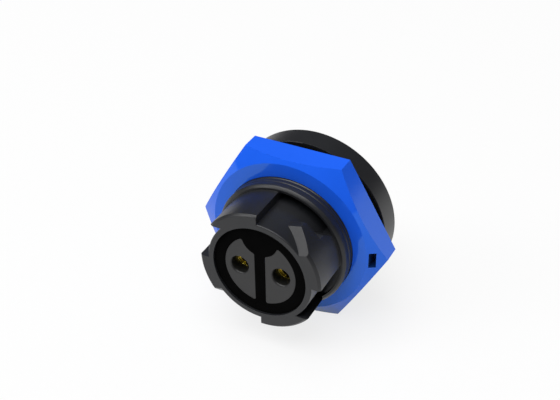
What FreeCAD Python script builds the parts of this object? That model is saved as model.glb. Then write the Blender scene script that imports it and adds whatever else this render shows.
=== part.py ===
import FreeCAD, Part
import math
import os
import re
import Sketcher

# Two-pole panel receptacle of a push-in, twist-locked circular power connector.
# The mating axis is Y and the mating face looks along -Y. The polarising gap is at +Z.
# The origin lies on the axis in the plane where the panel's rear face meets the gasket.
# A reach is a distance ahead of that plane, along -Y. All lengths are millimetres.

SIZES = (
    ("barrel_length", 16.0, "reach of the barrel's rim"),
    ("bore_radius", 8.5, "inside of the barrel"),
    ("barrel_wall", 1.0, "wall of the barrel between the raised bodies"),
    ("rim_edge", 0.15, "chamfer of the rim's outer edge"),
    ("raised_height", 1.6, "how far the raised bodies stand out of the barrel"),
    ("raised_edge", 0.4, "chamfer of the raised bodies at the rim"),
    ("centre_gap", 0.2, "key body's long wall, beside the vertical centre plane"),
    ("shoulder_height", 6.65, "height at which key body and lock body end"),
    ("slope_depth", 5.8, "rim to the start of the slopes in front of the collar"),
    ("slope_rise", 1.15, "how far those end walls draw back up to the collar"),
    ("lock_tilt", 14.0, "degrees between the ramp's and hook's walls and the horizontal"),
    ("ramp_start", 4.0, "distance of the ramp's foot from the tilted centre plane, at the rim"),
    ("ramp_length", 3.15, "length of the lock ramp along the axis"),
    ("nose_height", 7.47, "distance of the hook's nose from the tilted centre plane"),
    ("hook_depth", 4.5, "rim to the hook's locking face"),
    ("collar_reach", 8.25, "reach of the collar's face"),
    ("collar_width", 0.4, "width of the collar's flat face outside the slots"),
    ("collar_bevel", 0.425, "radial size of the bevel from the collar to the thread"),
    ("collar_edge", 0.4, "axial length of that bevel"),
    ("slot_depth", 2.0, "depth of the slots sunk into the collar"),
    ("shelf_depth", 0.5, "collar face to the shelf beside the plain ends of the bodies"),
    ("flange_width", 3.075, "how far the flange stands out of the M24 x 1 thread's crest"),
    ("flange_thickness", 4.35, "axial thickness of the flange"),
    ("flange_edge", 0.05, "chamfer of the flange's two edges, almost sharp"),
    ("seat_reach", 3.0, "reach of the step that stops the insert"),
    ("seat_rise", 0.6, "radial size of that step"),
    ("snap_depth", 0.6, "depth of the retaining ring's groove"),
    ("keyway_depth", 0.7, "depth of the keyway along the rear bore"),
    ("skirt_wall", 1.4, "wall of the rear skirt"),
    ("skirt_length", 4.65, "length of the rear skirt"),
    ("gasket_thickness", 1.5, "panel gasket along the axis"),
    ("gasket_inset", 0.3, "gasket's edge inside the flange's"),
    ("gasket_clearance", 0.05, "gasket over the thread crest"),
    ("nut_thickness", 5.15, "nut along the axis"),
    ("nut_gap", 0.2, "nut to gasket"),
    ("nut_clearance", 0.075, "nut's bore over the thread crest"),
    ("nut_proud", 0.2, "hexagon's flats outside the flange's edge"),
    ("nut_face_inset", 0.75, "hexagon's flats to the edge of the nut's flat front face"),
    ("nut_bevel", 30.0, "degrees between the nut's bevel and that face"),
    ("recess_out", 0.1, "hexagon's flats to the middle of the recess in one corner"),
    ("recess_run", 1.1, "radial size of that recess"),
    ("recess_width", 2.9, "width of that recess"),
    ("recess_depth", 2.6, "depth of that recess below the front face"),
    ("face_setback", 0.5, "rim to the islands of the insert"),
    ("seal_proud", 0.1, "face seal ahead of the islands"),
    ("seal_thickness", 2.0, "face seal along the axis"),
    ("seal_width", 2.0, "barrel's bore to the islands' outer arc"),
    ("fit_clearance", 0.05, "radial clearance of what sits in the shell's bore"),
    ("island_clearance", 0.04, "islands in the openings of the face seal"),
    ("island_gap", 1.9, "width of the seal's centre bar"),
    ("island_round", 0.35, "rounding of the islands' corners"),
    ("keyhole_radius", 3.3, "round notch between the islands' upper ends"),
    ("keyhole_drop", 0.1, "that notch's centre inside the islands' outer arc"),
    ("flange_run", 2.0, "length of the insert's rear flange"),
    ("ring_reach", 8.5, "reach of the insert's O-ring"),
    ("ring_depth", 1.2, "depth of the O-ring's groove below the shell's bore"),
    ("ring_width", 1.5, "width of the O-ring's groove"),
    ("ring_clearance", 0.01, "O-ring to each wall of its gland"),
    ("key_width", 2.0, "keys that stop the inserts from turning"),
    ("key_clearance", 0.1, "keys in the keyway, on each side"),
    ("rear_length", 8.0, "rear insert along the axis"),
    ("snap_thickness", 1.0, "retaining ring along the axis"),
    ("snap_width", 1.45, "radial width of the retaining ring"),
    ("snap_opening", 6.0, "opening of the retaining ring"),
    ("snap_clearance", 0.05, "retaining ring in its groove"),
    ("pole_spacing", 7.6, "contact axis to contact axis"),
    ("contact_bore", 1.25, "bore for the 2.5 mm pin"),
    ("contact_depth", 9.0, "depth of that bore from the contact's front"),
    ("contact_clearance", 0.05, "contact in the inserts"),
    ("tine_wall", 0.4, "wall of the slotted tines"),
    ("tine_slot", 0.35, "width of the slots between the tines"),
    ("tine_slot_length", 5.4, "length of those slots"),
    ("hood_length", 6.5, "contact hood along the axis"),
    ("hood_wall", 0.27, "wall of the hood, which is as thick outside as the contact"),
    ("hood_lip", 0.4, "thickness of the hood's turned-in front"),
    ("hood_play", 0.17, "opening of the hood's front over the pin's bore"),
    ("hood_clearance", 0.03, "hood over the tines"),
    ("entry_play", 0.35, "pin entry in each island over the pin's bore"),
    ("entry_edge", 0.2, "chamfer of the pin entry"),
    ("entry_depth", 2.0, "island face to the contact's front"),
    ("shoulder_rise", 0.55, "contact's shoulder, held between the inserts"),
    ("gland_play", 0.1, "bore of the front insert over that shoulder"),
    ("gland_reach", 5.0, "reach of that bore's front"),
    ("gland_depth", 0.8, "room for the contact seal along the axis"),
    ("cup_reach", 14.5, "panel seat to the end of the solder cups, rearward"),
    ("cup_wall", 0.45, "wall of the solder cup"),
    ("cup_depth", 5.5, "depth of the solder cup"),
    ("cup_opening", 2.3, "length over which the cup is open on top"),
    ("cup_cut_height", 0.35, "height above the contact's axis where that opening ends"),
    ("overlap", 0.3, "how far a joined or cutting solid runs past a face"),
)

doc = FreeCAD.newDocument("Receptacle")
sheet = doc.addObject("Spreadsheet::Sheet", "Sizes")
for row, (alias, size, meaning) in enumerate(SIZES, 1):
    sheet.set(f"A{row}", alias)
    sheet.set(f"B{row}", str(size))
    sheet.set(f"C{row}", meaning)
    sheet.setAlias(f"B{row}", alias)
doc.recompute()

NAMES = {alias for alias, size, meaning in SIZES}

# The front of an axial solid looks along -Y.
FORWARD = FreeCAD.Rotation(FreeCAD.Vector(1, 0, 0), 90)
HALF_TURN = FreeCAD.Rotation(FreeCAD.Vector(0, 1, 0), 180)
CENTRE = FreeCAD.Vector(0, 0, 0)
FRONT_AXIS = FreeCAD.Vector(0, -1, 0)
START_ANGLE = 10.0
START_CIRCLE = 5.0

BARREL_RADIUS = "( bore_radius + barrel_wall )"
RAISED_RADIUS = f"( {BARREL_RADIUS} + raised_height )"
BEYOND_RAISED = f"( {RAISED_RADIUS} + overlap )"
COLLAR_RADIUS = f"( {RAISED_RADIUS} + collar_width )"
THREAD_RADIUS = f"( {COLLAR_RADIUS} + collar_bevel )"
FLANGE_RADIUS = f"( {THREAD_RADIUS} + flange_width )"
NUT_RADIUS = f"( {FLANGE_RADIUS} + nut_proud )"
SEAT_RADIUS = "( bore_radius + seat_rise )"
SNAP_RADIUS = f"( {SEAT_RADIUS} + snap_depth )"
KEYWAY_RADIUS = f"( {SEAT_RADIUS} + keyway_depth )"
SKIRT_RADIUS = f"( {SEAT_RADIUS} + skirt_wall )"
ISLAND_RADIUS = "( bore_radius - seal_width )"
RING_FLOOR = "( bore_radius - ring_depth )"
TINE_RADIUS = "( contact_bore + tine_wall )"
HOOD_BORE = f"( {TINE_RADIUS} + hood_clearance )"
CONTACT_RADIUS = f"( {HOOD_BORE} + hood_wall )"
SHOULDER_RADIUS = f"( {CONTACT_RADIUS} + shoulder_rise )"
GLAND_RADIUS = f"( {SHOULDER_RADIUS} + gland_play )"

SEAT_REAR = "( 0 - gasket_thickness )"
FLANGE_REAR = f"( {SEAT_REAR} - flange_thickness )"
SKIRT_REAR = f"( {FLANGE_REAR} - skirt_length )"
SLOT_FLOOR = "( collar_reach - slot_depth )"
SHELF_FACE = "( collar_reach - shelf_depth )"
ISLAND_FACE = "( barrel_length - face_setback )"
SEAL_FACE = f"( {ISLAND_FACE} + seal_proud )"
BASE_FACE = f"( {SEAL_FACE} - seal_thickness )"
INSERT_REAR = "( seat_reach - flange_run )"
REAR_FACE = f"( {INSERT_REAR} - rear_length )"
SNAP_REAR = f"( {REAR_FACE} - snap_thickness - 2 * snap_clearance )"
CONTACT_FRONT = f"( {ISLAND_FACE} - entry_depth )"
HOOD_REAR = f"( {CONTACT_FRONT} - hood_length )"
TINE_FRONT = f"( {CONTACT_FRONT} - hood_lip - hood_clearance )"
SHOULDER_FRONT = "( gland_reach - gland_depth )"
CUP_END = "( 0 - cup_reach )"


def bound(text):
    """Turns a formula of size names into one that reads them from the sheet."""
    return re.sub(r"[a-z_]+", lambda word: f"Sizes.{word[0]}" if word[0] in NAMES else word[0], text)


def set_sizes(part, **formulas):
    """Binds properties of a solid; place_x, place_y and place_z are its base point."""
    for name, formula in formulas.items():
        path = name.replace("place_", ".Placement.Base.") if name.startswith("place_") else name
        part.setExpression(path, bound(formula))
    return part


def cylinder(name, radius, front, rear, across="0"):
    """A solid rod about an axis parallel to Y, between two reaches."""
    rod = doc.addObject("Part::Cylinder", name)
    rod.Placement = FreeCAD.Placement(CENTRE, FORWARD)
    return set_sizes(rod, Radius=radius, Height=f"( {front} ) - ( {rear} )",
                     place_x=across, place_y=f"0 - ( {rear} )")


def cone(name, rear_radius, front_radius, front, rear, across="0"):
    """A solid cone about an axis parallel to Y, between two reaches."""
    taper = doc.addObject("Part::Cone", name)
    taper.Placement = FreeCAD.Placement(CENTRE, FORWARD)
    return set_sizes(taper, Radius1=rear_radius, Radius2=front_radius,
                     Height=f"( {front} ) - ( {rear} )", place_x=across,
                     place_y=f"0 - ( {rear} )")


def block(name, left, right, front, rear, bottom, top):
    """A solid box between planes given across, along and up."""
    box = doc.addObject("Part::Box", name)
    return set_sizes(box, Length=f"( {right} ) - ( {left} )", Width=f"( {front} ) - ( {rear} )",
                     Height=f"( {top} ) - ( {bottom} )", place_x=left,
                     place_y=f"0 - ( {front} )", place_z=bottom)


def joined(name, *parts):
    """One solid out of several."""
    fused = doc.addObject("Part::MultiFuse", name)
    fused.Shapes = list(parts)
    fused.Refine = True
    return fused


def cut(name, base, tool):
    """The base without the tool."""
    rest = doc.addObject("Part::Cut", name)
    rest.Base = base
    rest.Tool = tool
    return rest


def shared(name, first, second):
    """What two solids have in common."""
    both = doc.addObject("Part::Common", name)
    both.Base = first
    both.Tool = second
    return both


def opposite(name, part):
    """The same solid turned half round the mating axis."""
    copy = doc.addObject("Part::Compound", name)
    copy.Links = [part]
    copy.Placement = FreeCAD.Placement(CENTRE, HALF_TURN)
    return copy


def outline(body, name, role, points):
    """A closed sketch of straight edges whose corners are bound to the sheet."""
    sketch = body.newObject("Sketcher::SketchObject", name)
    plane = [item for item in body.Origin.OriginFeatures if item.Role == role][0]
    sketch.AttachmentSupport = [(plane, "")]
    sketch.MapMode = "FlatFace"
    count = len(points)
    turns = [2 * math.pi * index / count for index in range(count)]
    corners = [FreeCAD.Vector(2 * START_CIRCLE + START_CIRCLE * math.cos(turn),
                              START_CIRCLE * math.sin(turn), 0) for turn in turns]
    for index in range(count):
        sketch.addGeometry(Part.LineSegment(corners[index], corners[(index + 1) % count]), False)
    for index in range(count):
        sketch.addConstraint(Sketcher.Constraint("Coincident", index, 2, (index + 1) % count, 1))
    for index, place in enumerate(points):
        for kind, formula, start in zip(("DistanceX", "DistanceY"), place, corners[index]):
            number = sketch.addConstraint(Sketcher.Constraint(kind, -1, 1, index, 1, start))
            sketch.setExpression(f"Constraints[{number}]", bound(formula))
    return sketch


def turned(name, profile):
    """A body turned about the mating axis; its profile is pairs of radius and reach."""
    body = doc.addObject("PartDesign::Body", name)
    points = [(radius, f"0 - ( {reach} )") for radius, reach in profile]
    sketch = outline(body, name + "_section", "XY_Plane", points)
    spin = body.newObject("PartDesign::Revolution", name + "_turned")
    spin.Profile = sketch
    spin.ReferenceAxis = (sketch, ["V_Axis"])
    spin.Angle = 360
    return body


def side_prism(name, profile, length):
    """A body with straight sides along X; its profile is pairs of reach and height."""
    body = doc.addObject("PartDesign::Body", name)
    points = [(f"0 - ( {reach} )", height) for reach, height in profile]
    sketch = outline(body, name + "_outline", "YZ_Plane", points)
    pad = body.newObject("PartDesign::Pad", name + "_pad")
    pad.Profile = sketch
    set_sizes(pad, Length=length)
    return body


def raised_blank():
    """Full disc of the raised bodies, wider where it stands inside the collar."""
    return turned("raised_blank", (
        ("0", SLOT_FLOOR + " - overlap"),
        (BEYOND_RAISED, SLOT_FLOOR + " - overlap"),
        (BEYOND_RAISED, SHELF_FACE),
        (RAISED_RADIUS, SHELF_FACE),
        (RAISED_RADIUS, "barrel_length - raised_edge"),
        (RAISED_RADIUS + " - raised_edge", "barrel_length"),
        ("0", "barrel_length")))


def key_body(blank):
    """Upper left body: a long wall beside the centre plane and an end that draws back."""
    room = side_prism("key_room", (
        ("barrel_length", "shoulder_height"),
        ("barrel_length", BEYOND_RAISED),
        (SLOT_FLOOR + " - overlap", BEYOND_RAISED),
        (SLOT_FLOOR + " - overlap", "shoulder_height + slope_rise"),
        ("collar_reach", "shoulder_height + slope_rise"),
        ("barrel_length - slope_depth", "shoulder_height")), BEYOND_RAISED + " - centre_gap")
    set_sizes(room, place_x=f"0 - {BEYOND_RAISED}")
    return shared("key_body", blank, room)


def lock_body(blank):
    """Upper right body: tilted ramp and hook in front, a level shoulder behind them."""
    tilted = side_prism("lock_ramp_room", (
        ("barrel_length", "0 - shoulder_height"),
        ("barrel_length", "ramp_start"),
        ("barrel_length - ramp_length", "nose_height"),
        ("barrel_length - hook_depth", "nose_height"),
        ("barrel_length - hook_depth", "0 - shoulder_height")), BEYOND_RAISED)
    tilted.Placement = FreeCAD.Placement(CENTRE, FreeCAD.Rotation(FRONT_AXIS, START_ANGLE))
    tilted.setExpression(".Placement.Rotation.Angle", bound("lock_tilt * 1deg"))
    quarter = block("lock_quarter", "0", BEYOND_RAISED, "barrel_length + overlap",
                    "barrel_length - hook_depth - overlap", "0", BEYOND_RAISED)
    front = shared("lock_front", blank, shared("lock_front_room", tilted, quarter))
    level = side_prism("lock_shoulder_room", (
        ("barrel_length - hook_depth + overlap", "0"),
        ("barrel_length - hook_depth + overlap", "shoulder_height"),
        ("barrel_length - slope_depth", "shoulder_height"),
        ("collar_reach", "shoulder_height - slope_rise"),
        (SLOT_FLOOR + " - overlap", "shoulder_height - slope_rise"),
        (SLOT_FLOOR + " - overlap", "0")), BEYOND_RAISED)
    return joined("lock_body", front, shared("lock_rear", blank, level))


def slot_shelf():
    """Fills most of the collar's slot between the lock body's and the key body's plain ends."""
    disc = cylinder("shelf_disc", BEYOND_RAISED, SHELF_FACE, SLOT_FLOOR + " - overlap")
    room = block("shelf_room", "0", BEYOND_RAISED, SHELF_FACE + " + overlap",
                 SLOT_FLOOR + " - 2 * overlap", "0 - shoulder_height - slope_rise - overlap",
                 "overlap")
    return shared("slot_shelf", disc, room)


def receptacle_shell():
    """Moulded shell: barrel, raised bodies, collar, threaded shank, flange and skirt."""
    core = turned("shell_core", (
        ("bore_radius", "barrel_length"),
        (BARREL_RADIUS + " - rim_edge", "barrel_length"),
        (BARREL_RADIUS, "barrel_length - rim_edge"),
        (BARREL_RADIUS, SLOT_FLOOR),
        (RAISED_RADIUS, SLOT_FLOOR),
        (RAISED_RADIUS, "collar_reach"),
        (COLLAR_RADIUS, "collar_reach"),
        (THREAD_RADIUS, "collar_reach - collar_edge"),
        (THREAD_RADIUS, SEAT_REAR),
        (FLANGE_RADIUS + " - flange_edge", SEAT_REAR),
        (FLANGE_RADIUS, SEAT_REAR + " - flange_edge"),
        (FLANGE_RADIUS, FLANGE_REAR + " + flange_edge"),
        (FLANGE_RADIUS + " - flange_edge", FLANGE_REAR),
        (SKIRT_RADIUS, FLANGE_REAR),
        (SKIRT_RADIUS, SKIRT_REAR),
        (SEAT_RADIUS, SKIRT_REAR),
        (SEAT_RADIUS, SNAP_REAR),
        (SNAP_RADIUS, SNAP_REAR),
        (SNAP_RADIUS, REAR_FACE),
        (SEAT_RADIUS, REAR_FACE),
        (SEAT_RADIUS, "seat_reach"),
        ("bore_radius", "seat_reach")))
    blank = raised_blank()
    half = joined("raised_half", key_body(blank), lock_body(blank), opposite("shelf_half", slot_shelf()))
    bodies = joined("shell_bodies", core, half, opposite("raised_other_half", half))
    bore = cylinder("shell_bore", "bore_radius", "barrel_length + overlap", "seat_reach - overlap")
    keyway = block("shell_keyway", "0 - key_width / 2 - key_clearance",
                   "key_width / 2 + key_clearance", "seat_reach", SKIRT_REAR + " - overlap",
                   "bore_radius - overlap", KEYWAY_RADIUS)
    return cut("receptacle_shell", bodies, joined("shell_openings", bore, keyway))


def panel_gasket():
    """Flat rubber ring between the flange and the panel."""
    return turned("panel_gasket", (
        (THREAD_RADIUS + " + gasket_clearance", "0"),
        (FLANGE_RADIUS + " - gasket_inset", "0"),
        (FLANGE_RADIUS + " - gasket_inset", SEAT_REAR),
        (THREAD_RADIUS + " + gasket_clearance", SEAT_REAR)))


def hex_nut():
    """Moulded hexagon nut, a little wider over its flats than the flange, with one small recess."""
    rear = "nut_gap"
    front = "nut_gap + nut_thickness"
    hexagon = doc.addObject("Part::Prism", "nut_hexagon")
    hexagon.Polygon = 6
    hexagon.Placement = FreeCAD.Placement(CENTRE, FORWARD)
    set_sizes(hexagon, Circumradius=NUT_RADIUS + " / cos(30deg)", Height="nut_thickness",
              place_y="0 - nut_gap")
    face = NUT_RADIUS + " - nut_face_inset"
    bevel = cone("nut_bevel_cone", face + " + nut_thickness / tan(nut_bevel * 1deg)", face,
                 front, rear)
    blank = shared("nut_blank", hexagon, bevel)
    bore = cylinder("nut_bore", THREAD_RADIUS + " + nut_clearance", front + " + overlap",
                    rear + " - overlap")
    middle = NUT_RADIUS + " + recess_out"
    recess = block("nut_recess", middle + " - recess_run / 2", middle + " + recess_run / 2",
                   front + " + overlap", front + " - recess_depth",
                   "0 - recess_width / 2", "recess_width / 2")
    return cut("hex_nut", blank, joined("nut_openings", bore, recess))


def islands(name, front, rear, grow):
    """The two D-shaped islands, each side grown by a clearance."""
    disc = cylinder(name + "_disc", f"{ISLAND_RADIUS} + {grow}", front, rear)
    gap = block(name + "_gap", f"{grow} - island_gap / 2", f"island_gap / 2 - {grow}",
                front + " + overlap", rear + " - overlap", f"0 - {ISLAND_RADIUS} - overlap",
                ISLAND_RADIUS + " + overlap")
    keyhole = cylinder(name + "_keyhole", f"keyhole_radius - {grow}", front + " + overlap",
                       rear + " - overlap")
    set_sizes(keyhole, place_z=ISLAND_RADIUS + " - keyhole_drop")
    sharp = cut(name + "_sharp", disc, joined(name + "_between", gap, keyhole))
    doc.recompute()
    corners = [number for number, edge in enumerate(sharp.Shape.Edges, 1)
               if edge.Curve.TypeId == "Part::GeomLine"
               and abs(edge.Vertexes[0].Y - edge.Vertexes[-1].Y) > edge.Length / 2]
    rounding = sheet.island_round
    soft = doc.addObject("Part::Fillet", name)
    soft.Base = sharp
    soft.Edges = [(number, rounding, rounding) for number in corners]
    return soft


def face_seal():
    """Rubber seal round the islands: ring, centre bar and keyhole disc in one moulding."""
    disc = cylinder("seal_disc", "bore_radius - fit_clearance", SEAL_FACE, BASE_FACE)
    openings = islands("seal_openings", SEAL_FACE + " + overlap", BASE_FACE + " - overlap",
                       "island_clearance")
    return cut("face_seal", disc, openings)


def front_insert():
    """Grey insert: round base with a rear flange and two islands round the pin entries."""
    base = turned("insert_base", (
        ("0", BASE_FACE),
        ("bore_radius - fit_clearance", BASE_FACE),
        ("bore_radius - fit_clearance", "ring_reach + ring_width / 2"),
        (RING_FLOOR, "ring_reach + ring_width / 2"),
        (RING_FLOOR, "ring_reach - ring_width / 2"),
        ("bore_radius - fit_clearance", "ring_reach - ring_width / 2"),
        ("bore_radius - fit_clearance", "seat_reach"),
        (SEAT_RADIUS + " - fit_clearance", "seat_reach"),
        (SEAT_RADIUS + " - fit_clearance", INSERT_REAR),
        ("0", INSERT_REAR)))
    faces = islands("insert_islands", ISLAND_FACE, BASE_FACE + " - overlap", "0")
    key = block("insert_key", "0 - key_width / 2", "key_width / 2", "seat_reach", INSERT_REAR,
                RING_FLOOR, KEYWAY_RADIUS + " - key_clearance")
    entry = "contact_bore + entry_play"
    holes = []
    for side, sign in (("left", "0 - "), ("right", "0 + ")):
        across = sign + "pole_spacing / 2"
        holes.append(cylinder("entry_" + side, entry, ISLAND_FACE + " + overlap",
                              CONTACT_FRONT + " - overlap", across))
        holes.append(cone("entry_edge_" + side, entry, entry + " + entry_edge", ISLAND_FACE,
                          ISLAND_FACE + " - entry_edge", across))
        holes.append(cylinder("chamber_" + side, CONTACT_RADIUS + " + contact_clearance",
                              CONTACT_FRONT, INSERT_REAR + " - overlap", across))
        holes.append(cylinder("gland_" + side, GLAND_RADIUS, "gland_reach",
                              INSERT_REAR + " - overlap", across))
    solid = joined("insert_solid", base, faces, key)
    return cut("front_insert", solid, joined("insert_holes", *holes))


def rear_insert():
    """Plain insert behind the first; it holds the contacts' shoulders."""
    disc = cylinder("rear_disc", SEAT_RADIUS + " - fit_clearance", INSERT_REAR, REAR_FACE)
    key = block("rear_key", "0 - key_width / 2", "key_width / 2", INSERT_REAR, REAR_FACE,
                RING_FLOOR, KEYWAY_RADIUS + " - key_clearance")
    holes = [cylinder("rear_hole_" + side, CONTACT_RADIUS + " + contact_clearance",
                      INSERT_REAR + " + overlap", REAR_FACE + " - overlap",
                      sign + "pole_spacing / 2")
             for side, sign in (("left", "0 - "), ("right", "0 + "))]
    return cut("rear_insert", joined("rear_solid", disc, key), joined("rear_holes", *holes))


def retaining_ring():
    """Open spring ring in the skirt's groove; its opening is at the bottom."""
    outer = SNAP_RADIUS + " - snap_clearance"
    front = REAR_FACE + " - snap_clearance"
    rear = SNAP_REAR + " + snap_clearance"
    ring = turned("snap_full_ring", (
        (outer + " - snap_width", front),
        (outer, front),
        (outer, rear),
        (outer + " - snap_width", rear)))
    opening = block("snap_gap", "0 - snap_opening / 2", "snap_opening / 2", REAR_FACE,
                    SNAP_REAR, f"0 - {SNAP_RADIUS} - overlap", "0")
    return cut("retaining_ring", ring, opening)


def o_ring(name, inner, outer, reach, across):
    """A rubber ring that fills the room between two radii, less a small clearance."""
    ring = doc.addObject("Part::Torus", name)
    ring.Placement = FreeCAD.Placement(CENTRE, FORWARD)
    return set_sizes(ring, Radius1=f"( {inner} + {outer} ) / 2",
                     Radius2=f"( {outer} - {inner} ) / 2 - ring_clearance",
                     place_x=across, place_y=f"0 - ( {reach} )")


def socket_contact(side, across):
    """Turned socket contact: slotted tines, shoulder and solder cup."""
    cup = CONTACT_RADIUS + " - cup_wall"
    solid = turned("contact_turned_" + side, (
        ("contact_bore", TINE_FRONT),
        (TINE_RADIUS, TINE_FRONT),
        (TINE_RADIUS, HOOD_REAR),
        (CONTACT_RADIUS, HOOD_REAR),
        (CONTACT_RADIUS, SHOULDER_FRONT),
        (SHOULDER_RADIUS, SHOULDER_FRONT),
        (SHOULDER_RADIUS, INSERT_REAR),
        (CONTACT_RADIUS, INSERT_REAR),
        (CONTACT_RADIUS, CUP_END),
        (cup, CUP_END),
        (cup, CUP_END + " + cup_depth"),
        ("0", CUP_END + " + cup_depth"),
        ("0", CONTACT_FRONT + " - contact_depth"),
        ("contact_bore", CONTACT_FRONT + " - contact_depth")))
    slots = [block(f"tine_slot_{number}_{side}", f"0 - {wide}", wide, TINE_FRONT + " + overlap",
                   TINE_FRONT + " - tine_slot_length", f"0 - {tall}", tall)
             for number, wide, tall in ((1, "tine_slot / 2", CONTACT_RADIUS),
                                        (2, CONTACT_RADIUS, "tine_slot / 2"))]
    opening = block("cup_cut_" + side, f"0 - {CONTACT_RADIUS} - overlap",
                    CONTACT_RADIUS + " + overlap", CUP_END + " + cup_opening",
                    CUP_END + " - overlap", "cup_cut_height", CONTACT_RADIUS + " + overlap")
    contact = cut("socket_contact_" + side, solid, joined("contact_cuts_" + side, *slots, opening))
    return set_sizes(contact, place_x=across)


def contact_hood(side, across):
    """Sleeve that guides the pin and keeps the tines from opening too far."""
    lip = "contact_bore + hood_play"
    hood = turned("contact_hood_" + side, (
        (lip, CONTACT_FRONT),
        (CONTACT_RADIUS, CONTACT_FRONT),
        (CONTACT_RADIUS, HOOD_REAR),
        (HOOD_BORE, HOOD_REAR),
        (HOOD_BORE, CONTACT_FRONT + " - hood_lip"),
        (lip, CONTACT_FRONT + " - hood_lip")))
    return set_sizes(hood, place_x=across)


pieces = [receptacle_shell(), panel_gasket(), hex_nut(), face_seal(), front_insert(),
          rear_insert(), retaining_ring(),
          o_ring("insert_o_ring", RING_FLOOR, "bore_radius", "ring_reach", "0")]
for side, across in (("left", "0 - pole_spacing / 2"), ("right", "pole_spacing / 2")):
    pieces.append(socket_contact(side, across))
    pieces.append(contact_hood(side, across))
    pieces.append(o_ring("contact_seal_" + side, CONTACT_RADIUS, GLAND_RADIUS,
                         SHOULDER_FRONT + " + gland_depth / 2", across))

doc.recompute()
for item in doc.Objects:
    if "Invalid" in item.State or "Error" in item.State:
        raise RuntimeError(f"{item.Name} did not build: {item.State}")
for piece in pieces:
    if piece.Shape.isNull() or not piece.Shape.isValid():
        raise RuntimeError(f"{piece.Label} has no valid shape")
    if len(piece.Shape.Solids) != 1:
        raise RuntimeError(f"{piece.Label} has {len(piece.Shape.Solids)} solids, not one")

os.makedirs("parts", exist_ok=True)
for piece in pieces:
    piece.Shape.exportStep(f"parts/{piece.Label}.step")
    print(f"{piece.Label}: {piece.Shape.Volume:.1f} mm3")
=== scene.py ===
import logging
import math
from dataclasses import dataclass, field
from enum import Enum

import bmesh
import bpy
from mathutils import Matrix, Vector


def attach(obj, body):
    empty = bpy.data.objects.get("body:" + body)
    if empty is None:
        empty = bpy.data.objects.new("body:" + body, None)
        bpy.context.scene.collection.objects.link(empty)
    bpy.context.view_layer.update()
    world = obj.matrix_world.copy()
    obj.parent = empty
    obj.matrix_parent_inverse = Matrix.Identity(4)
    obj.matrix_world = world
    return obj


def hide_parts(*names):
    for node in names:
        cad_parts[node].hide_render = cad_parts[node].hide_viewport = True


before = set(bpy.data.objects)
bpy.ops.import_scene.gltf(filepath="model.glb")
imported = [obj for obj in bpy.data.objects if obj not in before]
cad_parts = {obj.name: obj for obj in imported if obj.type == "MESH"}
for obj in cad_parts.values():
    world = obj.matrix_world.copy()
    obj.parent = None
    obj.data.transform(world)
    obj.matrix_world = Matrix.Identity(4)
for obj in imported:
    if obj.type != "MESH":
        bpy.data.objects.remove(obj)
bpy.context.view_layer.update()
LOG = logging.getLogger("receptacle")
MM = 0.001
# Corners of a CAD mesh that are nearer than this are one corner.
WELD_MM = 0.0005
# Facets that differ by less than this are one flat face in CAD.
FLAT_DEG = 0.2
# Blender's wave texture makes 20 bands in 2 pi metres at a scale of 1.
WAVE_FACTOR = 2 * math.pi / 20


def linear(hex_colour: str) -> tuple[float, float, float, float]:
    """Turns an sRGB hex colour into linear light.

    Args:
        hex_colour: six hex digits after a hash.

    Returns:
        Red, green, blue and an alpha of one.
    """
    parts = [int(hex_colour[start:start + 2], 16) / 255 for start in (1, 3, 5)]
    light = [part / 12.92 if part <= 0.04045 else ((part + 0.055) / 1.055) ** 2.4
             for part in parts]
    return (light[0], light[1], light[2], 1.0)


def add_node(tree: bpy.types.NodeTree, kind: str, settings: dict | None = None,
             **inputs: object) -> bpy.types.Node:
    """Adds a shader node with its settings, values and links.

    Args:
        tree: node tree that takes the node.
        kind: Blender's name of the node type.
        settings: properties of the node itself, by name.
        inputs: values or output sockets by input name, with underscores for spaces.

    Returns:
        The new node.
    """
    node = tree.nodes.new(kind)
    for name, value in (settings or {}).items():
        setattr(node, name, value)
    for name, value in inputs.items():
        socket = node.inputs[name.replace("_", " ")]
        if isinstance(value, bpy.types.NodeSocket):
            tree.links.new(value, socket)
        else:
            socket.default_value = value
    return node


def empty_tree(owner: bpy.types.ID) -> bpy.types.NodeTree:
    """Turns on the nodes of a material or world and clears them.

    Args:
        owner: material or world.

    Returns:
        Its empty node tree.
    """
    owner.use_nodes = True
    owner.node_tree.nodes.clear()
    return owner.node_tree


def add_object(name: str, data: bpy.types.ID) -> bpy.types.Object:
    """Puts a new object into the scene.

    Args:
        name: name of the object.
        data: mesh, camera or lamp that it holds.

    Returns:
        The new object.
    """
    made = bpy.data.objects.new(name, data)
    bpy.context.scene.collection.objects.link(made)
    return made


def per_mm(size_mm: float) -> float:
    """Gives a texture's scale, in waves per metre, from the size of one wave."""
    return 1.0 / (size_mm * MM)


def radius_mm(place: Vector) -> float:
    """Gives a point's distance from the mating axis, in millimetres."""
    return math.hypot(place.x, place.z) / MM


def reach_mm(place: Vector) -> float:
    """Gives a point's reach: how far it lies in front of the panel's plane, in millimetres."""
    return -place.y / MM


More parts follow.
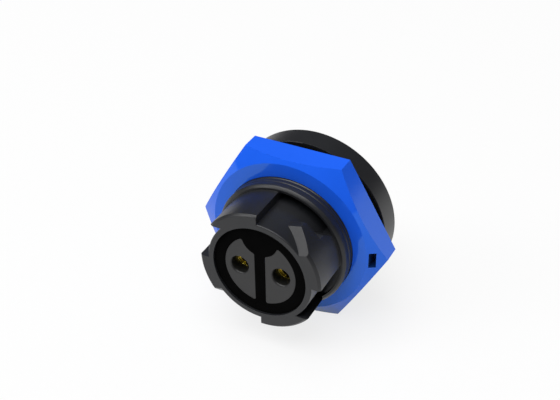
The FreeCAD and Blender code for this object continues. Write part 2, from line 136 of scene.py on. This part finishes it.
@dataclass(frozen=True)
class Finish:
    """A moulded surface: base colour, cloudiness, grain and gloss.

    Attributes:
        name: name of the material.
        slot: material slot of the part that it stands for; not used.
        colour: sRGB hex colour of most of the surface.
        cloud_colour: sRGB hex colour of its lighter clouds.
        roughness: roughness in the middle of the grain.
        roughness_swing: how far the grain moves the roughness either way.
        grain_mm: size of one grain.
        grain_depth_mm: height of the grain.
        ior: refractive index. A metal leaves it at Blender's default.
        cloud_mm: size of one cloud.
        cloud_from: value of the noise at which a cloud begins.
        cloud_full: value of the noise at which it has its full colour.
        cloud_detail: octaves of the clouds' noise.
        grain_detail: octaves of the grain's noise.
        grain_harshness: strength of each octave against the one before.
        metallic: one for a metal.
        specular: strength of the highlight, where 0.5 is the plain one.
        tint: sRGB hex tint of the highlight.
    """

    name: str
    slot: str
    colour: str
    cloud_colour: str
    roughness: float
    roughness_swing: float
    grain_mm: float
    grain_depth_mm: float
    ior: float = 1.5
    cloud_mm: float = 4.0
    cloud_from: float = 0.35
    cloud_full: float = 0.7
    cloud_detail: float = 4.0
    grain_detail: float = 3.0
    grain_harshness: float = 0.6
    metallic: float = 0.0
    specular: float = 0.5
    tint: str = "#ffffff"

    def clouds(self, tree: bpy.types.NodeTree,
               place: bpy.types.NodeSocket) -> bpy.types.NodeSocket:
        """Gives the base colour with its faint clouds.

        Args:
            tree: the material's node tree.
            place: socket with the place on the object.

        Returns:
            Socket with the colour.
        """
        noise = add_node(tree, "ShaderNodeTexNoise", Vector=place, Scale=per_mm(self.cloud_mm),
                         Detail=self.cloud_detail)
        ramp = add_node(tree, "ShaderNodeValToRGB", Fac=noise.outputs["Fac"])
        ramp.color_ramp.elements[0].position = self.cloud_from
        ramp.color_ramp.elements[0].color = linear(self.colour)
        ramp.color_ramp.elements[1].position = self.cloud_full
        ramp.color_ramp.elements[1].color = linear(self.cloud_colour)
        return ramp.outputs["Color"]

    def grain(self, tree: bpy.types.NodeTree,
              place: bpy.types.NodeSocket) -> bpy.types.NodeSocket:
        """Gives the height pattern of the surface.

        Args:
            tree: the material's node tree.
            place: socket with the place on the object.

        Returns:
            Socket with the height, between 0 and 1.
        """
        noise = add_node(tree, "ShaderNodeTexNoise", Vector=place, Scale=per_mm(self.grain_mm),
                         Detail=self.grain_detail, Roughness=self.grain_harshness)
        return noise.outputs["Fac"]

    def material(self) -> bpy.types.Material:
        """Makes the material, or finds it where it exists already.

        Returns:
            The finish's material.
        """
        made = bpy.data.materials.get(self.name)
        if made:
            return made
        material = bpy.data.materials.new(self.name)
        tree = empty_tree(material)
        place = add_node(tree, "ShaderNodeTexCoord").outputs["Object"]
        colour = self.clouds(tree, place)
        height = self.grain(tree, place)
        gloss = add_node(tree, "ShaderNodeMapRange", Value=height,
                         To_Min=self.roughness - self.roughness_swing,
                         To_Max=self.roughness + self.roughness_swing)
        bump = add_node(tree, "ShaderNodeBump", Height=height, Strength=1.0,
                        Distance=self.grain_depth_mm * MM)
        shader = add_node(tree, "ShaderNodeBsdfPrincipled", Base_Color=colour,
                          Roughness=gloss.outputs["Result"], Metallic=self.metallic,
                          Normal=bump.outputs["Normal"])
        if not self.metallic:
            shader.inputs["IOR"].default_value = self.ior
        shader.inputs["Specular IOR Level"].default_value = self.specular
        shader.inputs["Specular Tint"].default_value = linear(self.tint)
        add_node(tree, "ShaderNodeOutputMaterial", Surface=shader.outputs["BSDF"])
        return material


@dataclass(frozen=True)
class TurnedFinish(Finish):
    """A turned surface: fine rings square to the mating axis, left by the tool.

    Its grain_mm is the tool's feed, from one ring to the next.

    Attributes:
        ring_wander: how far the rings stray from true circles.
        ring_detail: octaves of that straying.
    """

    ring_wander: float = 0.6
    ring_detail: float = 2.0

    def grain(self, tree: bpy.types.NodeTree,
              place: bpy.types.NodeSocket) -> bpy.types.NodeSocket:
        """Gives the tool's rings along Y with a little noise on them.

        Args:
            tree: the material's node tree.
            place: socket with the place on the object.

        Returns:
            Socket with the height, between 0 and 1.
        """
        rings = add_node(tree, "ShaderNodeTexWave",
                         {"wave_type": "BANDS", "bands_direction": "Y"}, Vector=place,
                         Scale=per_mm(self.grain_mm) * WAVE_FACTOR,
                         Distortion=self.ring_wander, Detail=self.ring_detail)
        return rings.outputs["Fac"]


# One pixel of the photograph's frame is about 0.17 mm wide on the part. Real tool grain and
# tool rings are some hundredths of a millimetre, too fine to show, so all of them are drawn
# coarser here, at 0.1 to 0.22 mm.

# Glass-filled PA66, spark-eroded tool: near black, soft sheen, fine grain.
SHELL_PA66 = Finish("moulded_pa66_black", "shell_polyamide", "#1a1b1e", "#1d1e21",
                    roughness=0.38, roughness_swing=0.05, grain_mm=0.16, grain_depth_mm=0.004,
                    ior=1.53, specular=0.4)
# Unfilled PA6 with blue masterbatch, polished tool: clean colour, mirrors the dark barrel.
# The tint takes red out of the highlight, which would otherwise pale the blue.
NUT_PA6 = Finish("moulded_pa6_blue", "nut_polyamide", "#1b5ce4", "#1d5ee8",
                 roughness=0.08, roughness_swing=0.01, grain_mm=0.2, grain_depth_mm=0.0003,
                 ior=1.53, cloud_mm=6.0, tint="#b3ffff")
# The same blue PA6 on the floor and walls of the nut's recess, with painted shade: deep
# blue, its base colour darker than the plastic's, standing in for the shade there.
RECESS_PAINTED_SHADE = Finish("pa6_recess_painted_shade", "nut_polyamide", "#0b2b60", "#0d306a",
                    roughness=0.35, roughness_swing=0.05, grain_mm=0.2, grain_depth_mm=0.002,
                    ior=1.53)
# EPDM rubber, pressed: matt and sooty, with a slight bloom.
SEAL_EPDM = Finish("pressed_epdm", "seal_rubber", "#090909", "#0c0c0c",
                   roughness=0.7, roughness_swing=0.08, grain_mm=0.22, grain_depth_mm=0.006,
                   specular=0.0)
# PBT, dark grey, moulded: satin from a fine tool grain.
INSERT_PBT = Finish("moulded_pbt_grey", "insert_pbt", "#19191a", "#1d1d1e",
                    roughness=0.42, roughness_swing=0.05, grain_mm=0.18, grain_depth_mm=0.004,
                    ior=1.57, specular=0.4)
# The same grey PBT on the walls of the pin entries, moulded on core pins, with painted
# shade: dark, its base colour darker than the plastic's, standing in for the shade there.
ENTRY_PAINTED_SHADE = Finish("pbt_entry_painted_shade", "insert_pbt", "#111110", "#151514",
                   roughness=0.5, roughness_swing=0.05, grain_mm=0.18, grain_depth_mm=0.003,
                   ior=1.57, specular=0.3)
# Brass, turned, then gold-plated: pale yellow metal with fine tool rings.
CONTACT_GOLD = TurnedFinish("gold_plated_brass", "gold_plate", "#e2cc5e", "#ead66c",
                            roughness=0.24, roughness_swing=0.05, grain_mm=0.15,
                            grain_depth_mm=0.0006, metallic=1.0)
# Spring steel, phosphated: dark grey metal, dull.
RING_STEEL = Finish("phosphated_spring_steel", "spring_steel", "#6d6e70", "#77787a",
                    roughness=0.5, roughness_swing=0.08, grain_mm=0.1, grain_depth_mm=0.003,
                    metallic=1.0)


@dataclass
class MouldedPiece:
    """A piece that keeps its CAD solid's form, with its edges softened.

    Attributes:
        node: CAD node that it replaces.
        name: name of the finished object.
        body: body that it rides on.
        finish: finish of its faces.
        edge_mm: width of a softened edge, or 0 where the edges stay sharp.
        edge_steps: segments across a softened edge.
        edge_profile: form of a softened edge, where 0.5 is round.
        sharp_deg: angle over which an edge is softened.
        smooth_deg: angle up to which faces are shaded as one curve.
        inner: darker finish of its inner faces, painted shade in a hollow, where they have one.
    """

    node: str
    name: str
    body: str
    finish: Finish
    edge_mm: float = 0.12
    edge_steps: int = 2
    edge_profile: float = 0.5
    sharp_deg: float = 28.0
    smooth_deg: float = 40.0
    inner: Finish | None = None

    def solid(self) -> bmesh.types.BMesh:
        """Reads the CAD solid as one closed mesh with whole flat faces.

        Returns:
            The solid, in metres.
        """
        form = bmesh.new()
        form.from_mesh(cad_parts[self.node].data)
        bmesh.ops.remove_doubles(form, verts=form.verts, dist=WELD_MM * MM)
        bmesh.ops.dissolve_limit(form, angle_limit=math.radians(FLAT_DEG), verts=form.verts,
                                 edges=form.edges, delimit={"NORMAL"})
        return form

    def shape(self, form: bmesh.types.BMesh) -> None:
        """Changes the solid before its edges are softened; a plain piece needs nothing."""

    def may_soften(self, edge: bmesh.types.BMEdge) -> bool:
        """Says whether an edge is a sharp outer or inner corner."""
        return (len(edge.link_faces) == 2
                and edge.calc_face_angle(0.0) > math.radians(self.sharp_deg))

    def is_inner(self, corners: list[Vector], normal: Vector) -> bool:
        """Says whether a face, given in millimetres, takes the inner finish, painted shade."""
        return False

    def dress(self, mesh: bpy.types.Mesh) -> None:
        """Gives the mesh its finish, and its inner faces their painted shade.

        Args:
            mesh: the piece's mesh, in metres.
        """
        mesh.materials.append(self.finish.material())
        if self.inner is None:
            return
        mesh.materials.append(self.inner.material())
        inner_index = len(mesh.materials) - 1
        for face in mesh.polygons:
            corners = [mesh.vertices[index].co / MM for index in face.vertices]
            if self.is_inner(corners, face.normal):
                face.material_index = inner_index

    def soften(self, form: bmesh.types.BMesh) -> None:
        """Rounds the sharp edges.

        Args:
            form: the solid, which is changed in place.
        """
        if self.edge_mm <= 0:
            return
        edges = [edge for edge in form.edges if self.may_soften(edge)]
        bmesh.ops.bevel(form, geom=edges, offset=self.edge_mm * MM, offset_type="OFFSET",
                        segments=self.edge_steps, profile=self.edge_profile, affect="EDGES",
                        clamp_overlap=True)

    def even_shading(self, piece: bpy.types.Object) -> None:
        """Shades curved faces smoothly, with the wide faces' normals leading.

        Args:
            piece: the finished object.
        """
        piece.data.shade_smooth()
        piece.data.set_sharp_from_angle(angle=math.radians(self.smooth_deg))
        weighted = piece.modifiers.new("even_normals", "WEIGHTED_NORMAL")
        weighted.keep_sharp = True

    def build(self) -> bpy.types.Object:
        """Builds, dresses and places the piece.

        Returns:
            The finished object.
        """
        form = self.solid()
        self.shape(form)
        self.soften(form)
        mesh = bpy.data.meshes.new(self.name)
        form.to_mesh(mesh)
        form.free()
        self.dress(mesh)
        piece = add_object(self.name, mesh)
        self.even_shading(piece)
        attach(piece, self.body)
        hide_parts(self.node)
        LOG.info("%s: %d faces", self.name, len(mesh.polygons))
        return piece


@dataclass
class EntryInsert(MouldedPiece):
    """The front insert, whose pin entries have painted shade: a darker finish on their walls.

    Attributes:
        pole_mm: distance of each pole's axis from the middle.
        entry_mm: radius just outside an entry's walls.
        wall_lean: largest share of an entry wall's normal along the axis.
    """

    pole_mm: float = 3.8
    entry_mm: float = 1.7
    wall_lean: float = 0.5
    # Painted shade: the entry walls take a darker finish.
    inner: Finish | None = ENTRY_PAINTED_SHADE

    def is_inner(self, corners: list[Vector], normal: Vector) -> bool:
        """Picks the walls round the two pole axes.

        Args:
            corners: the face's corners, in millimetres.
            normal: the face's normal.

        Returns:
            True for a wall of a pin entry.
        """
        return abs(normal.y) < self.wall_lean and all(
            math.hypot(abs(corner.x) - self.pole_mm, corner.z) < self.entry_mm
            for corner in corners)


@dataclass
class RecessedNut(MouldedPiece):
    """The hexagon nut, with the true normals of its cone and bore, and painted shade in its
    recess.

    Attributes:
        bevel_deg: how far the bevel leans back from the front face.
        cone_slack: how far a bevel face's normal may be from that, along Y.
        bore_mm: radius just outside the bore's walls.
        bore_lean: largest share of a bore wall's normal along the axis.
        recess_from_mm: distance along X just short of the recess's inner wall.
        recess_to_mm: distance along X that the middle of each of its faces stays within.
        recess_half_mm: distance along Z just outside its side walls.
        recess_reach_mm: reach that the middle of each of its faces stays behind.
        square_on: least share of a normal along an axis for a face that is square to it.
    """

    edge_mm: float = 0.0
    bevel_deg: float = 30.0
    cone_slack: float = 0.06
    bore_mm: float = 12.1
    bore_lean: float = 0.2
    recess_from_mm: float = 14.7
    recess_to_mm: float = 15.9
    recess_half_mm: float = 1.46
    recess_reach_mm: float = 5.2
    square_on: float = 0.99
    # Painted shade: the recess's walls and floor take a darker finish.
    inner: Finish | None = RECESS_PAINTED_SHADE

    def is_inner(self, corners: list[Vector], normal: Vector) -> bool:
        """Picks the recess's walls and floor, which lie behind the front face and its bevel.

        Args:
            corners: the face's corners, in millimetres.
            normal: the face's normal.

        Returns:
            True for a wall or the floor of the recess.
        """
        middle = sum(corners, Vector()) / len(corners)
        inside = all(corner.x > self.recess_from_mm and abs(corner.z) < self.recess_half_mm
                     for corner in corners)
        behind = -middle.y < self.recess_reach_mm and middle.x < self.recess_to_mm
        square = max(abs(normal.x), abs(normal.z), -normal.y) > self.square_on
        return inside and behind and square

    def true_normal(self, face: bpy.types.MeshPolygon, corner: Vector) -> Vector:
        """Gives the normal of the cone, bore or flat on which a face's corner lies.

        Args:
            face: one face of the nut.
            corner: place of one of its corners, in metres.

        Returns:
            The normal at that corner.
        """
        out = Vector((corner.x, 0.0, corner.z)).normalized()
        lean = math.radians(self.bevel_deg)
        if abs(face.normal.y + math.cos(lean)) < self.cone_slack:
            return Vector((out.x * math.sin(lean), -math.cos(lean), out.z * math.sin(lean)))
        if radius_mm(corner) < self.bore_mm and abs(face.normal.y) < self.bore_lean:
            return -out
        return face.normal.copy()

    def even_shading(self, piece: bpy.types.Object) -> None:
        """Gives each corner of each face its true normal.

        Args:
            piece: the finished object.
        """
        mesh = piece.data
        mesh.shade_smooth()
        normals = [Vector()] * len(mesh.loops)
        for face in mesh.polygons:
            for loop in face.loop_indices:
                corner = mesh.vertices[mesh.loops[loop].vertex_index].co
                normals[loop] = self.true_normal(face, corner)
        mesh.normals_split_custom_set(normals)


@dataclass
class ThreadedShell(MouldedPiece):
    """The shell, whose plain shank is given its M24 x 1 thread.

    Attributes:
        pitch_mm: rise of the thread in one turn.
        depth_mm: depth of the groove, as shallow as the photograph's grooves look.
        groove_middle: place of the groove's middle, as a share of one pitch.
        groove_half: half the groove's width at the crest, as a share of one pitch.
        flank_gain: steepness of the flanks, where more than 1 leaves a flat root.
        runout_turns: turns over which the groove fades at each end.
        land_front_mm: reach of the CAD shank's front end.
        thread_front_mm: reach at which the thread ends, short of that.
        thread_rear_mm: reach of the shank's rear end, at the flange.
        flange_from_mm: radius beyond which edges belong to the flange and stay as they are.
        columns: steps round the shank.
        steps: rows in one pitch.
        place_slack_mm: how far a point may be from a place that it lies on.
        crest_slack_mm: the same for the crest's radius.
        rim_slack_mm: the same for the rims that the removed crest leaves.
        under_crest_mm: depth below the crest down to which edges belong to the thread.
        land_slack_mm: distance from the shank's front end at which its own edge begins.
        crest_mm: radius of the thread's crest, measured on the CAD shank.
    """

    pitch_mm: float = 1.0
    depth_mm: float = 0.16
    groove_middle: float = 0.5
    groove_half: float = 0.17
    flank_gain: float = 1.15
    runout_turns: float = 0.5
    land_front_mm: float = 7.85
    thread_front_mm: float = 6.95
    thread_rear_mm: float = -1.5
    flange_from_mm: float = 14.0
    columns: int = 240
    steps: int = 10
    place_slack_mm: float = 0.01
    crest_slack_mm: float = 0.002
    rim_slack_mm: float = 0.3
    under_crest_mm: float = 1.0
    land_slack_mm: float = 0.05
    crest_mm: float = field(init=False, default=0.0)

    def measure_crest(self, form: bmesh.types.BMesh) -> None:
        """Takes the thread's crest radius from the front end of the CAD shank.

        Args:
            form: the shell's solid.
        """
        self.crest_mm = max(
            radius_mm(vert.co) for vert in form.verts
            if abs(reach_mm(vert.co) - self.land_front_mm) < self.place_slack_mm)
        LOG.info("thread crest: %.3f mm", self.crest_mm)

    def is_crest(self, face: bmesh.types.BMFace) -> bool:
        """Says whether a face belongs to the plain shank.

        Args:
            face: one face of the shell.

        Returns:
            True where all its corners lie on the crest.
        """
        return all(abs(radius_mm(vert.co) - self.crest_mm) < self.crest_slack_mm
                   and reach_mm(vert.co) < self.land_front_mm + self.place_slack_mm
                   for vert in face.verts)

    def lies_at(self, edge: bmesh.types.BMEdge, goal_mm: float, slack_mm: float) -> bool:
        """Says whether both ends of an edge lie at one reach."""
        return all(abs(reach_mm(vert.co) - goal_mm) < slack_mm for vert in edge.verts)

    def fade(self, distance_mm: float) -> float:
        """Gives the share of its full depth that the groove has at a distance from an end."""
        return min(1.0, max(0.0, distance_mm / (self.runout_turns * self.pitch_mm)))

    def depth(self, reach: float, phase: float) -> float:
        """Gives the groove's depth.

        Args:
            reach: reach in millimetres.
            phase: place between one crest and the next, as a share of one pitch.

        Returns:
            Depth below the crest in millimetres.
        """
        flank = max(0.0, 1.0 - abs(phase - self.groove_middle) / self.groove_half)
        root = min(1.0, flank * self.flank_gain)
        return (self.depth_mm * root * self.fade(self.thread_front_mm - reach)
                * self.fade(reach - self.thread_rear_mm))

    def groove_point(self, row: int, column: int) -> tuple[float, float, float]:
        """Gives one point of the grooved surface.

        Args:
            row: steps along the thread from its front end.
            column: steps round the shank.

        Returns:
            The point's x, y and z in metres.
        """
        turn = column / self.columns
        reach = self.thread_front_mm - self.pitch_mm * (row / self.steps - turn)
        reach = min(self.thread_front_mm, max(self.thread_rear_mm, reach))
        radius = (self.crest_mm - self.depth(reach, (row / self.steps) % 1.0)) * MM
        angle = 2 * math.pi * turn
        return (radius * math.cos(angle), -reach * MM, radius * math.sin(angle))

    def cut_groove(self, form: bmesh.types.BMesh) -> None:
        """Adds the grooved surface, a right-handed helix that is open at both ends.

        Args:
            form: the shell without its crest, which is changed in place.
        """
        turns = (self.thread_front_mm - self.thread_rear_mm) / self.pitch_mm
        rows = round((turns + 1) * self.steps)
        grid = [[form.verts.new(self.groove_point(row, column))
                 for column in range(self.columns + 1)] for row in range(rows + 1)]
        for row in range(rows):
            for column in range(self.columns):
                form.faces.new((grid[row][column], grid[row + 1][column],
                                grid[row + 1][column + 1], grid[row][column + 1]))
        bmesh.ops.remove_doubles(form, verts=[vert for line in grid for vert in line],
                                 dist=WELD_MM * MM)

    def shape(self, form: bmesh.types.BMesh) -> None:
        """Replaces the plain crest cylinder by a helical groove.

        Args:
            form: the shell's solid, which is changed in place.
        """
        self.measure_crest(form)
        crest = [face for face in form.faces if self.is_crest(face)]
        bmesh.ops.delete(form, geom=crest, context="FACES")
        rims = [edge for edge in form.edges if edge.is_boundary]
        self.cut_groove(form)
        open_edges = [edge for edge in form.edges if edge.is_boundary]
        for rim_mm, end_mm in ((self.land_front_mm, self.thread_front_mm),
                               (self.thread_rear_mm, self.thread_rear_mm)):
            shell_side = [edge for edge in open_edges
                          if edge in rims and self.lies_at(edge, rim_mm, self.rim_slack_mm)]
            thread_side = [edge for edge in open_edges
                           if edge not in rims and self.lies_at(edge, end_mm, self.place_slack_mm)]
            LOG.info("thread end at %.2f: %d and %d edges", rim_mm, len(shell_side),
                     len(thread_side))
            bmesh.ops.bridge_loops(form, edges=shell_side + thread_side)
        bmesh.ops.recalc_face_normals(form, faces=form.faces)

    def may_soften(self, edge: bmesh.types.BMEdge) -> bool:
        """Leaves the thread's own edges and the flange's almost sharp ones as they are.

        Args:
            edge: one edge of the shell.

        Returns:
            True where the edge is softened.
        """
        if all(radius_mm(vert.co) > self.flange_from_mm for vert in edge.verts):
            return False
        low, high = self.crest_mm - self.under_crest_mm, self.crest_mm + self.place_slack_mm
        rear = self.thread_rear_mm - self.place_slack_mm
        front = self.land_front_mm - self.land_slack_mm
        on_thread = all(low < radius_mm(vert.co) < high and rear < reach_mm(vert.co) < front
                        for vert in edge.verts)
        return not on_thread and super().may_soften(edge)


@dataclass
class Receptacle:
    """All pieces that ride on the receptacle's body.

    Attributes:
        body: the body's name.
        pieces: the pieces, filled in when they are built.
    """

    body: str = "receptacle"
    pieces: list[MouldedPiece] = field(default_factory=list)

    def build(self) -> None:
        """Builds the shell, seals, inserts and contacts."""
        self.pieces = [
            ThreadedShell("receptacle_shell", "shell_moulding", self.body, SHELL_PA66,
                          edge_mm=0.1),
            MouldedPiece("panel_gasket", "gasket_ring", self.body, SEAL_EPDM, edge_mm=0.15),
            MouldedPiece("face_seal", "face_seal_moulding", self.body, SEAL_EPDM, edge_mm=0.08),
            EntryInsert("front_insert", "island_insert", self.body, INSERT_PBT, edge_mm=0.06),
            MouldedPiece("rear_insert", "rear_insert_moulding", self.body, INSERT_PBT,
                         edge_mm=0.1),
            MouldedPiece("retaining_ring", "snap_ring", self.body, RING_STEEL, edge_mm=0.08),
            MouldedPiece("insert_o_ring", "large_o_ring", self.body, SEAL_EPDM, edge_mm=0.0),
        ]
        for side in ("left", "right"):
            self.pieces += [
                MouldedPiece(f"socket_contact_{side}", f"socket_{side}", self.body,
                             CONTACT_GOLD, edge_mm=0.04),
                MouldedPiece(f"contact_hood_{side}", f"hood_{side}", self.body,
                             CONTACT_GOLD, edge_mm=0.05),
                MouldedPiece(f"contact_seal_{side}", f"small_o_ring_{side}", self.body,
                             SEAL_EPDM, edge_mm=0.0),
            ]
        for piece in self.pieces:
            piece.build()


@dataclass
class PanelNut:
    """The blue hexagon nut, which rides on its own body.

    Attributes:
        body: the body's name.
    """

    body: str = "nut"

    def build(self) -> None:
        """Builds the nut."""
        RecessedNut("hex_nut", "nut_moulding", self.body, NUT_PA6).build()


@dataclass
class PhotoCamera:
    """The camera, solved from the circles and hexagon corners in the photograph.

    Attributes:
        azimuth_deg: turn to the right of the mating face.
        elevation_deg: height above it.
        roll_deg: tilt of the frame.
        distance_mm: distance from the aim.
        aim_mm: point of the part that the camera looks at.
        focal_px: focal length in pixels of the photograph.
        frame_px: width of the photograph.
        sensor_mm: width of Blender's sensor.
        near_mm: distance at which the camera begins to see.
    """

    azimuth_deg: float = 27.82
    elevation_deg: float = 34.37
    roll_deg: float = -0.85
    distance_mm: float = 165.0
    aim_mm: tuple[float, float, float] = (-3.94, -0.65, 3.74)
    focal_px: float = 950.5
    frame_px: float = 560.0
    sensor_mm: float = 36.0
    near_mm: float = 1.0

    def build(self) -> bpy.types.Object:
        """Makes the scene's camera.

        Returns:
            The camera object.
        """
        data = bpy.data.cameras.new("photo_camera")
        data.sensor_width = self.sensor_mm
        data.lens = self.focal_px / self.frame_px * self.sensor_mm
        data.clip_start = self.near_mm * MM
        camera = add_object("photo_camera", data)
        turn = (Matrix.Rotation(math.radians(self.azimuth_deg), 4, "Z")
                @ Matrix.Rotation(math.radians(90 - self.elevation_deg), 4, "X")
                @ Matrix.Rotation(math.radians(self.roll_deg), 4, "Z"))
        back = turn.to_3x3() @ Vector((0, 0, 1))
        place = Vector(self.aim_mm) * MM + back * self.distance_mm * MM
        camera.matrix_world = Matrix.Translation(place) @ turn
        bpy.context.scene.camera = camera
        return camera


class LampSide(Enum):
    """Where a softbox stands, as direction from the object."""

    KEY = (-0.08, -0.20, 0.977)
    FRONT = (-0.66, -0.52, 0.54)


@dataclass(frozen=True)
class Softbox:
    """A square lamp that looks at the object.

    Attributes:
        side: where it stands.
        distance_m: how far from the object.
        size_m: width of its face.
        watts: its power.
    """

    side: LampSide
    distance_m: float
    size_m: float
    watts: float

    def build(self) -> None:
        """Hangs the softbox."""
        data = bpy.data.lights.new(self.side.name.lower(), "AREA")
        data.shape = "SQUARE"
        data.size = self.size_m
        data.energy = self.watts
        lamp = add_object(self.side.name.lower(), data)
        way = Vector(self.side.value).normalized()
        lamp.location = way * self.distance_m
        lamp.rotation_euler = way.to_track_quat("Z", "Y").to_euler()


# A wide, strong softbox almost overhead, and a small, weak one at the front left.
SOFTBOXES = (
    Softbox(LampSide.KEY, distance_m=1.5, size_m=1.5, watts=33.0),
    Softbox(LampSide.FRONT, distance_m=1.5, size_m=0.55, watts=4.8),
)


@dataclass
class Studio:
    """Pale paper floor, white surroundings and softboxes.

    Attributes:
        floor_mm: height of the floor, just under the flange. The nut's lowest flat reaches
            0.18 mm below it.
        floor_half_m: half the floor's width.
        floor_cells: squares along each side of the floor.
        fibre_mm: size of the paper's fibre clouds.
        fibre_detail: octaves of their noise.
        paper: sRGB hex colour of the paper.
        paper_light: sRGB hex colour of its lighter fibre.
        paper_roughness: roughness of the paper.
        floor_white: share of plain white that camera and glossy rays see in the floor.
        world_strength: strength at which the surroundings light the object.
    """

    floor_mm: float = -15.02
    floor_half_m: float = 3.0
    floor_cells: int = 8
    fibre_mm: float = 1.5
    fibre_detail: float = 3.0
    paper: str = "#dedede"
    paper_light: str = "#e2e2e2"
    paper_roughness: float = 0.9
    floor_white: float = 0.8
    world_strength: float = 0.08

    def paper_sweep(self) -> bpy.types.Material:
        """Makes the floor's material: uncoated white paper, matt, with faint fibre clouds.

        Returns:
            The paper, which camera and glossy rays see mostly as white.
        """
        material = bpy.data.materials.new("white_paper_sweep")
        tree = empty_tree(material)
        place = add_node(tree, "ShaderNodeTexCoord").outputs["Object"]
        fibre = add_node(tree, "ShaderNodeTexNoise", Vector=place, Scale=per_mm(self.fibre_mm),
                         Detail=self.fibre_detail)
        ramp = add_node(tree, "ShaderNodeValToRGB", Fac=fibre.outputs["Fac"])
        ramp.color_ramp.elements[0].color = linear(self.paper)
        ramp.color_ramp.elements[1].color = linear(self.paper_light)
        paper = add_node(tree, "ShaderNodeBsdfPrincipled", Base_Color=ramp.outputs["Color"],
                         Roughness=self.paper_roughness)
        white = add_node(tree, "ShaderNodeEmission", Strength=1.0)
        path = add_node(tree, "ShaderNodeLightPath")
        seen = add_node(tree, "ShaderNodeMath", {"operation": "MAXIMUM"})
        tree.links.new(path.outputs["Is Camera Ray"], seen.inputs[0])
        tree.links.new(path.outputs["Is Glossy Ray"], seen.inputs[1])
        share = add_node(tree, "ShaderNodeMapRange", Value=seen.outputs["Value"],
                         To_Max=self.floor_white)
        mixed = add_node(tree, "ShaderNodeMixShader", Fac=share.outputs["Result"])
        tree.links.new(paper.outputs["BSDF"], mixed.inputs[1])
        tree.links.new(white.outputs["Emission"], mixed.inputs[2])
        add_node(tree, "ShaderNodeOutputMaterial", Surface=mixed.outputs["Shader"])
        return material

    def floor(self) -> None:
        """Lays the pale floor below the part."""
        form = bmesh.new()
        bmesh.ops.create_grid(form, x_segments=self.floor_cells, y_segments=self.floor_cells,
                              size=self.floor_half_m)
        mesh = bpy.data.meshes.new("studio_floor")
        form.to_mesh(mesh)
        form.free()
        mesh.materials.append(self.paper_sweep())
        floor = add_object("studio_floor", mesh)
        floor.location.z = self.floor_mm * MM

    def world(self) -> None:
        """Surrounds the scene with white, which the camera sees at full strength."""
        world = bpy.data.worlds.new("studio_white")
        bpy.context.scene.world = world
        tree = empty_tree(world)
        path = add_node(tree, "ShaderNodeLightPath")
        strength = add_node(tree, "ShaderNodeMapRange", Value=path.outputs["Is Camera Ray"],
                            To_Min=self.world_strength, To_Max=1.0)
        light = add_node(tree, "ShaderNodeBackground", Color=linear("#ffffff"),
                         Strength=strength.outputs["Result"])
        add_node(tree, "ShaderNodeOutputWorld", Surface=light.outputs["Background"])

    def build(self) -> None:
        """Builds floor, surroundings and lamps."""
        self.floor()
        self.world()
        for softbox in SOFTBOXES:
            softbox.build()
        bpy.context.scene.view_settings.view_transform = "Standard"


def main() -> None:
    """Builds the receptacle in its studio."""
    logging.basicConfig(level=logging.INFO, format="%(name)s: %(message)s")
    PhotoCamera().build()
    Studio().build()
    Receptacle().build()
    PanelNut().build()


if __name__ == "__main__":
    main()
